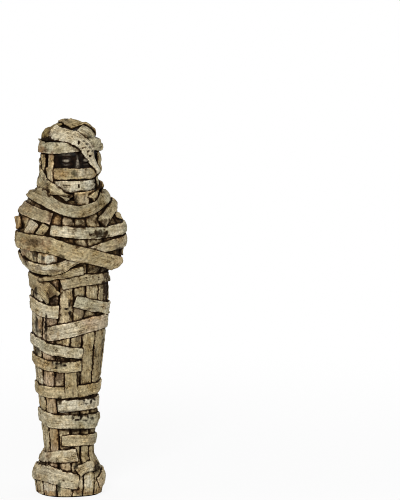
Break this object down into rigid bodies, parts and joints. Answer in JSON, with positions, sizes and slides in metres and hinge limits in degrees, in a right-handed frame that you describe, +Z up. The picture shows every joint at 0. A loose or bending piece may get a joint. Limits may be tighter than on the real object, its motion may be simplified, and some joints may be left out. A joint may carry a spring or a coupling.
{
  "type": "mummy figure",
  "caption": "Small standing mummy figure with folded arms, wrapped in overlapping aged linen strips that leave a dark strip of the face bare.",
  "frame": {"origin": "middle of the sole, in the plane that the figure stands on", "axes": "+Z up along the figure, -Y the way the face looks, +X to the figure's left hand"},
  "size_m": [0.0295, 0.0238, 0.1003],
  "materials": {
    "dark_core": "matte, dark brown cast resin",
    "dark_face": "satin, dark brown cast resin",
    "linen_ivory": "matte, aged and stained linen, stiffened",
    "linen_cream": "matte, aged and stained linen, stiffened",
    "linen_tan": "matte, aged and stained linen, stiffened",
    "linen_ochre": "matte, aged and stained linen, stiffened"
  },
  "bodies": {
    "root": {"body_core": "dark_core", "head_core": "dark_face", "upright_front": "linen_cream", "upright_front_right": "linen_tan", "upright_right_hip": "linen_cream", "upright_right_side": "linen_tan", "upright_back_right_outer": "linen_cream", "upright_back_right": "linen_tan", "upright_back_right_inner": "linen_cream", "upright_back": "linen_tan", "upright_back_left_inner": "linen_cream", "upright_back_left": "linen_tan", "upright_left_side_rear": "linen_cream", "upright_left_side": "linen_tan", "upright_left_hip": "linen_cream", "upright_front_left": "linen_tan", "left_foot_wrap": "linen_cream", "right_foot_wrap": "linen_tan", "right_instep_wrap": "linen_cream", "left_ankle_wrap": "linen_tan", "right_ankle_wrap": "linen_cream", "lower_shin_wrap": "linen_tan", "right_shin_wrap": "linen_cream", "under_knee_wrap": "linen_tan", "knee_tab": "linen_tan", "knee_wrap": "linen_ochre", "over_knee_wrap": "linen_ivory", "thigh_diagonal": "linen_cream", "left_thigh_wrap": "linen_cream", "right_hip_wrap": "linen_ivory", "left_hip_wrap": "linen_tan", "waist_wrap": "linen_cream", "under_arm_wrap": "linen_tan", "chest_wrap": "linen_ivory", "elbow_diagonal": "linen_cream", "left_arm_strip_outer": "linen_ochre", "left_arm_strip_middle": "linen_cream", "left_arm_strip_inner": "linen_cream", "right_arm_strip": "linen_cream", "right_shoulder_wrap": "linen_cream", "left_shoulder_wrap": "linen_tan", "chest_diagonal": "linen_tan", "mouth_band": "linen_ivory", "chin_band": "linen_cream", "cheek_band": "linen_ochre", "nape_band": "linen_cream", "left_temple_strap": "linen_cream", "left_cheek_strap": "linen_tan", "right_cheek_strap": "linen_cream", "crown_strip": "linen_tan", "crown_back_wrap": "linen_cream", "crown_left_arc": "linen_ochre", "forehead_strip": "linen_cream", "crown_right_arc": "linen_tan", "brow_band": "linen_ivory", "brow_diagonal": "linen_ivory", "jaw_wrap_outer": "linen_tan", "jaw_wrap_inner": "linen_cream", "collar_wrap": "linen_tan"}
  },
  "joints": []
}
